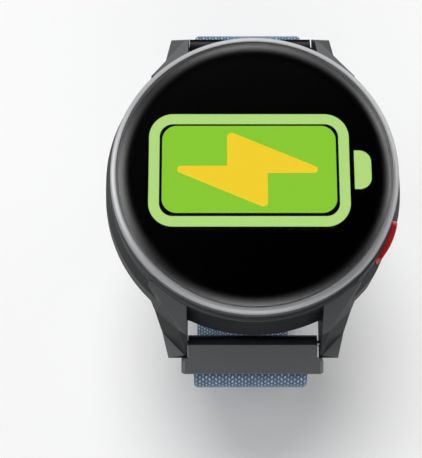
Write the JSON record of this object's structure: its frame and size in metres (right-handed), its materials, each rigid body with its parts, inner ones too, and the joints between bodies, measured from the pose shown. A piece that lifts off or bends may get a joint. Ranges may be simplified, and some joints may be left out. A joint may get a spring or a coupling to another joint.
{
  "type": "golf gps watch",
  "caption": "Round golf GPS watch: flared metal case with lugs, side keys, round-edged glass and a woven quick-release strap closed into a loop by hook and loop.",
  "frame": {"origin": "centre of the outer face of the window in the case back", "axes": "+Z out of the display, +Y to 12 o'clock, +X to 3 o'clock"},
  "size_m": [0.0458, 0.0579, 0.0542],
  "materials": {
    "case_metal": "satin, dark anodised",
    "bezel_metal": "turned and polished",
    "cover_glass": "polished",
    "seal_rubber": "matt",
    "display": "gloss",
    "flex_film": "film",
    "frame_plastic": "moulded",
    "battery_foil": "foil",
    "board": "solder mask",
    "bright_steel": "satin",
    "copper": "bare copper",
    "heavy_metal": "sintered",
    "ferrite": "sheet",
    "back_plastic": "moulded",
    "sensor_window": "polished",
    "switch_plastic": "moulded",
    "key_grey": "satin",
    "key_red": "red anodised",
    "connector_metal": "satin, dark anodised",
    "sleeve_black": "matt",
    "strap_fabric": "woven, flecked",
    "hook_pad": "hook tape",
    "loop_pad": "loop tape",
    "tab_plastic": "moulded"
  },
  "bodies": {
    "head": {"case_body": "case_metal", "bezel_ring": "bezel_metal", "cover_glass": "cover_glass", "glass_seal": "seal_rubber", "display_panel": "display", "display_flex": "flex_film", "inner_frame": "frame_plastic", "battery": "battery_foil", "main_board": "board", "shield_cans": "bright_steel", "gps_antenna": "copper", "haptic_motor": "bright_steel", "charging_coil": "copper", "coil_ferrite": "ferrite", "sensor_board": "board", "back_cover": "back_plastic", "sensor_window": "sensor_window", "back_seal": "seal_rubber", "back_screws": "bright_steel", "key_bracket": "bright_steel", "upper_key_switch": "switch_plastic", "lower_key_switch": "switch_plastic"},
    "haptic_mass": {"haptic_mass": "heavy_metal"},
    "upper_key": {"upper_key": "key_grey", "upper_key_seal": "seal_rubber", "upper_key_clip": "bright_steel", "upper_key_plunger": "switch_plastic"},
    "lower_key": {"lower_key": "key_red", "lower_key_seal": "seal_rubber", "lower_key_clip": "bright_steel", "lower_key_plunger": "switch_plastic"},
    "strap_6": {"connector_6": "connector_metal", "bar_sleeve_6": "sleeve_black", "bar_tube_6": "bright_steel", "bar_tip_6": "bright_steel", "bar_spring_6": "bright_steel", "strap_rod_6": "bright_steel", "strap_6": "strap_fabric", "loop_pad_6": "loop_pad", "strap_end_tab": "tab_plastic"},
    "release_6": {"bar_release_6": "bright_steel"},
    "strap_12": {"connector_12": "connector_metal", "bar_sleeve_12": "sleeve_black", "bar_tube_12": "bright_steel", "bar_tip_12": "bright_steel", "bar_spring_12": "bright_steel", "strap_rod_12": "bright_steel", "strap_12": "strap_fabric", "hook_pad_12": "hook_pad", "flap_hook_pad": "hook_pad", "flap_loop_pad": "loop_pad"},
    "release_12": {"bar_release_12": "bright_steel"}
  },
  "joints": [
    {"name": "strap_6_pivot", "type": "hinge", "parent": "head", "child": "strap_6", "pos_m": [0, -0.024, 0.0017], "axis": [-1, 0, 0], "range_deg": [0, 65]},
    {"name": "strap_12_pivot", "type": "hinge", "parent": "head", "child": "strap_12", "pos_m": [0, 0.024, 0.0017], "axis": [1, 0, 0], "range_deg": [0, 33]},
    {"name": "release_6_slide", "type": "slide", "parent": "strap_6", "child": "release_6", "axis": [1, 0, 0], "range_m": [0, 0.0013], "stiffness_N_per_m": 1500, "springref_m": -0.001, "deforming": ["bar_spring_6"]},
    {"name": "release_12_slide", "type": "slide", "parent": "strap_12", "child": "release_12", "axis": [-1, 0, 0], "range_m": [0, 0.0013], "stiffness_N_per_m": 1500, "springref_m": -0.001, "deforming": ["bar_spring_12"]},
    {"name": "upper_key_press", "type": "slide", "parent": "head", "child": "upper_key", "axis": [-0.8988, -0.4384, 0], "range_m": [0, 0.0004], "stiffness_N_per_m": 2500, "springref_m": -0.0004},
    {"name": "lower_key_press", "type": "slide", "parent": "head", "child": "lower_key", "axis": [-0.8988, 0.4384, 0], "range_m": [0, 0.0004], "stiffness_N_per_m": 2500, "springref_m": -0.0004},
    {"name": "haptic_spin", "type": "hinge", "parent": "head", "child": "haptic_mass", "pos_m": [0, 0.0127, 0.0047], "axis": [0, 0, 1], "continuous": true}
  ],
  "couplings": [
    {"joint": "strap_12_pivot", "follows": "strap_6_pivot", "ratio": 0.5}
  ]
}
